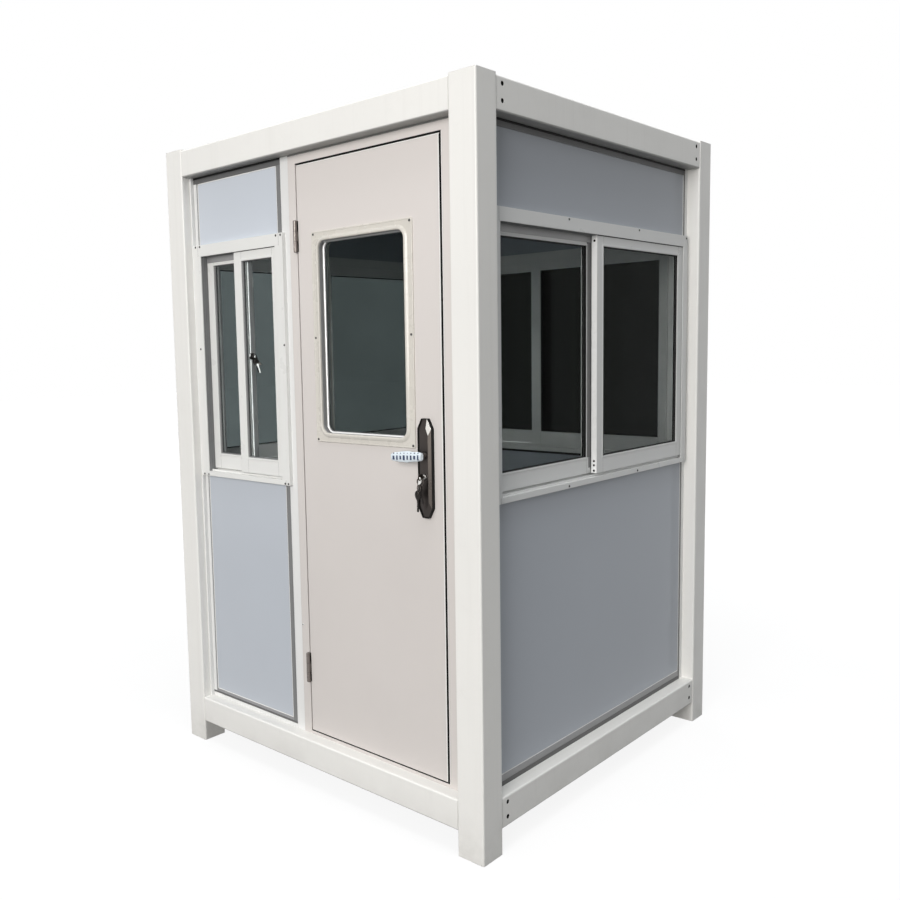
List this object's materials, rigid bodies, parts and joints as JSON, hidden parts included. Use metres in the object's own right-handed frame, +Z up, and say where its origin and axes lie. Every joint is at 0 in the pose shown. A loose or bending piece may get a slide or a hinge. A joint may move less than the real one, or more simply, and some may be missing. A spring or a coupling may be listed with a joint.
{
  "type": "guard booth",
  "caption": "Free-standing security guard booth with a hinged door and sliding windows in its four walls.",
  "frame": {"origin": "on the ground under the middle of the booth", "axes": "+X to the right along the door side, +Y from the door side to the back, +Z up"},
  "size_m": [1.5, 1.55, 2.35],
  "materials": {
    "frame_paint": "satin",
    "panel_skin": "satin",
    "channel": "satin",
    "white_strip": "satin",
    "window_aluminium": "gloss",
    "door_paint": "satin",
    "door_trim": "gloss",
    "bronze": "satin",
    "floor_board": "matte",
    "gasket": "matte",
    "steel": "polished",
    "sleeve": "gloss",
    "glass": "gloss"
  },
  "bodies": {
    "booth": {"post_front_left": "frame_paint", "post_front_right": "frame_paint", "post_back_left": "frame_paint", "post_back_right": "frame_paint", "front_bottom_beam": "frame_paint", "front_top_beam": "frame_paint", "right_bottom_beam": "frame_paint", "right_top_beam": "frame_paint", "back_bottom_beam": "frame_paint", "back_top_beam": "frame_paint", "left_bottom_beam": "frame_paint", "left_top_beam": "frame_paint", "floor_board": "floor_board", "floor_joists": "frame_paint", "roof_panel": "panel_skin", "roof_sheet": "frame_paint", "front_panels": "panel_skin", "front_channels": "channel", "right_panels": "panel_skin", "right_channels": "channel", "back_panels": "panel_skin", "back_channels": "channel", "left_panels": "panel_skin", "left_channels": "channel", "wall_studs": "white_strip", "front_window_frame": "window_aluminium", "front_window_sashes": "window_aluminium", "front_window_glass": "glass", "right_window_frame": "window_aluminium", "right_window_sashes": "window_aluminium", "right_window_glass": "glass", "back_window_frame": "window_aluminium", "back_window_sashes": "window_aluminium", "back_window_glass": "glass", "left_window_frame": "window_aluminium", "left_window_sashes": "window_aluminium", "left_window_glass": "glass", "door_frame": "door_paint", "hinge_frame_halves": "bronze"},
    "door": {"door_leaf": "door_paint", "door_window_trim": "door_trim", "door_glass": "glass", "lock_plates": "bronze", "hinge_door_halves": "bronze"},
    "lever": {"door_lever": "bronze"}
  },
  "joints": [
    {"name": "door_swing", "type": "hinge", "parent": "booth", "child": "door", "pos_m": [-0.0585, -0.7335, 1.2], "axis": [0, 0, -1], "range_deg": [0, 100]},
    {"name": "lever_turn", "type": "hinge", "parent": "door", "child": "lever", "pos_m": [0.512, -0.705, 1.241], "axis": [0, -1, 0], "range_deg": [0, 45], "stiffness_Nm_per_rad": 0.6, "springref_deg": -17.19}
  ]
}
